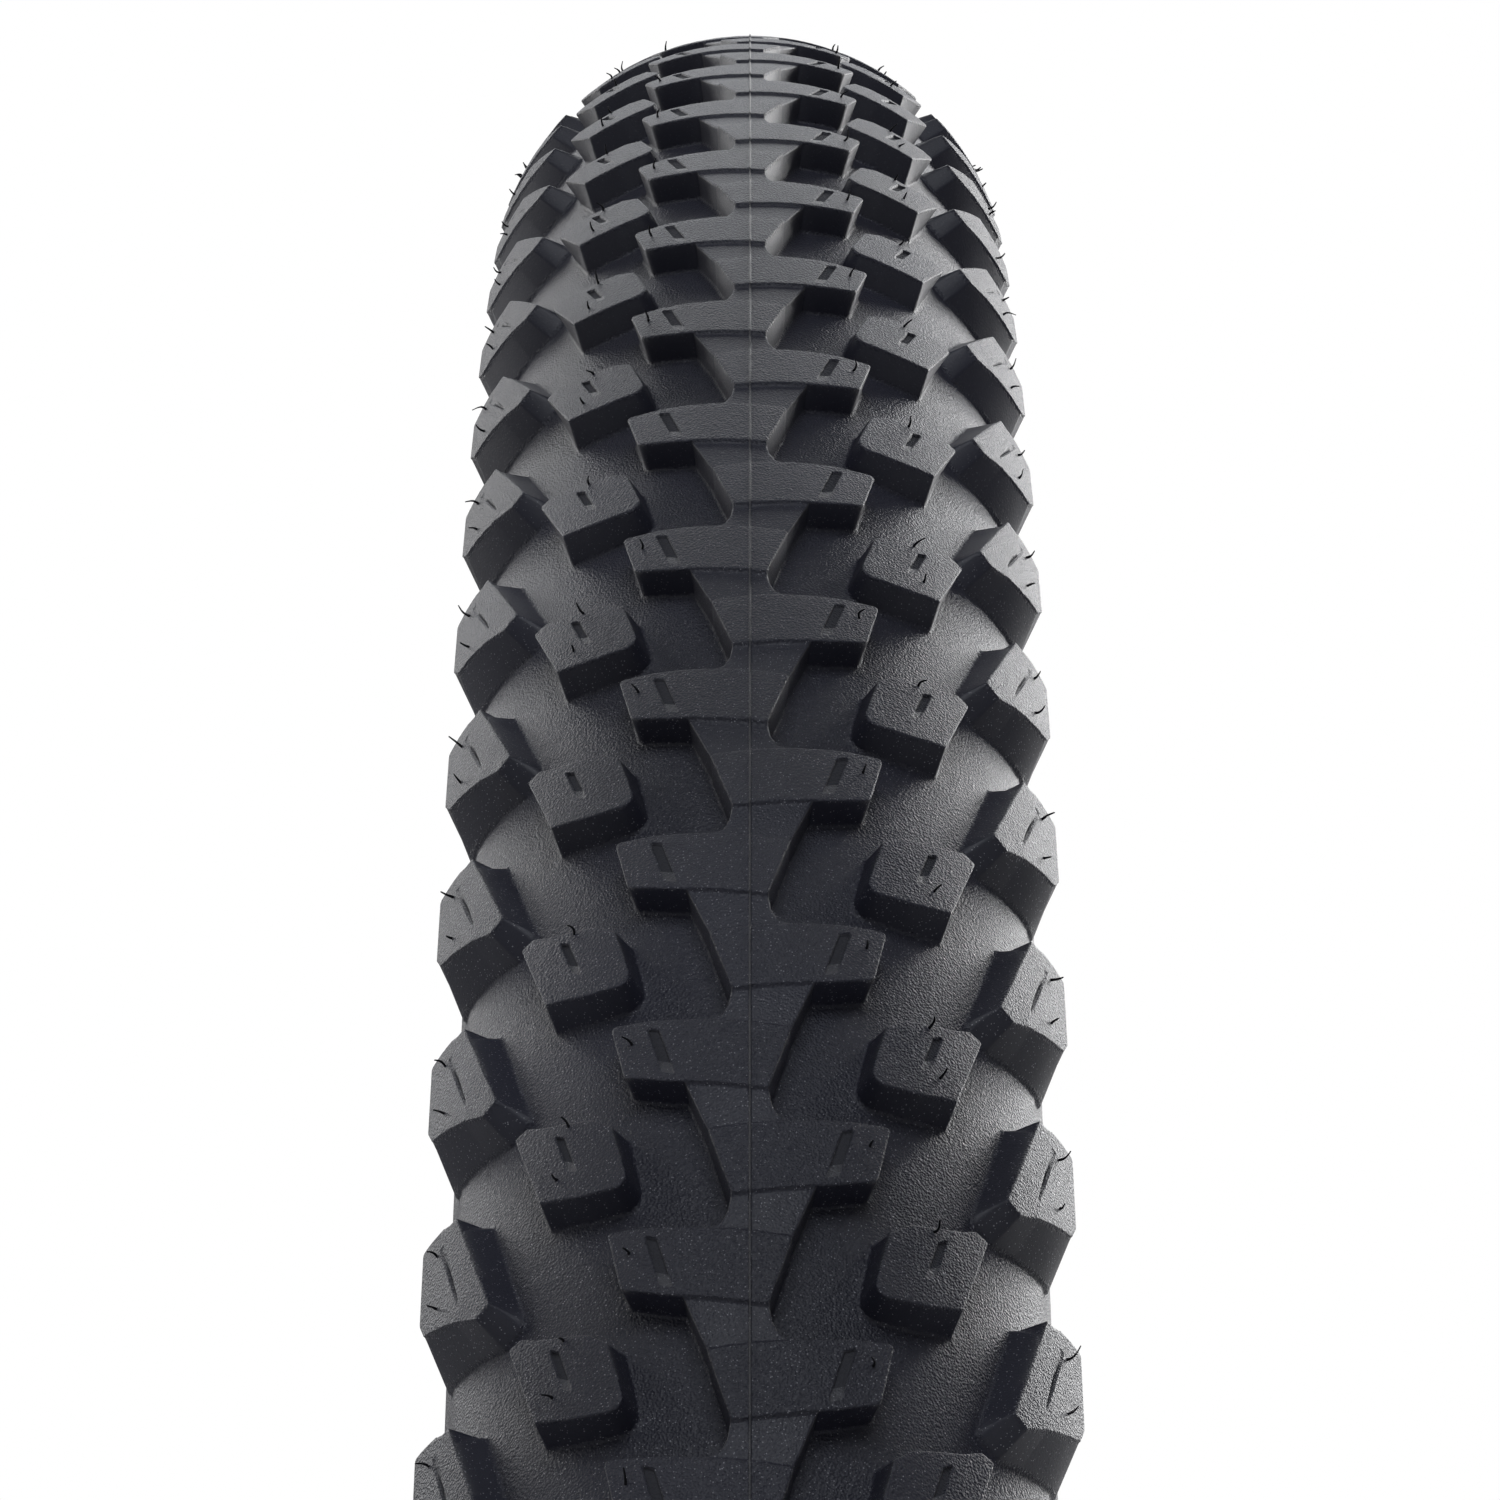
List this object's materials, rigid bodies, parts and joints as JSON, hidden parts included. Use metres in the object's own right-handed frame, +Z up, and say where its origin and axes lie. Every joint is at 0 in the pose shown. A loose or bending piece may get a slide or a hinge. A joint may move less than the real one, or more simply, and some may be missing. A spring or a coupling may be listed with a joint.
{
  "type": "bicycle tire",
  "caption": "Knobby off-road bicycle tire of layered rubber and fabric, with a zigzag centre rib, free-standing side blocks, big shoulder blocks and wire beads.",
  "frame": {"origin": "the wheel's centre: on the spin axis, in the tire's middle plane", "axes": "+Y along the spin axis toward the right-hand side of the tire, +Z up, +X the front of the tire"},
  "size_m": [0.7358, 0.0586, 0.7358],
  "materials": {
    "tread": "matte black rubber with a fine grain",
    "sidewall": "satin black rubber with a fine grain",
    "belt": "matte rubber",
    "ply": "rubber-coated nylon cord",
    "chafer": "rubber-coated woven tape",
    "bead_wire": "bronze-coated steel wire"
  },
  "bodies": {
    "root": {"tread_center": "tread", "tread_shoulder_right": "tread", "tread_shoulder_left": "tread", "sidewall_right": "sidewall", "sidewall_left": "sidewall", "puncture_belt": "belt", "carcass_ply_outer": "ply", "carcass_ply_inner": "ply", "chafer_right": "chafer", "chafer_left": "chafer", "bead_core_right": "bead_wire", "bead_core_left": "bead_wire"}
  },
  "joints": []
}
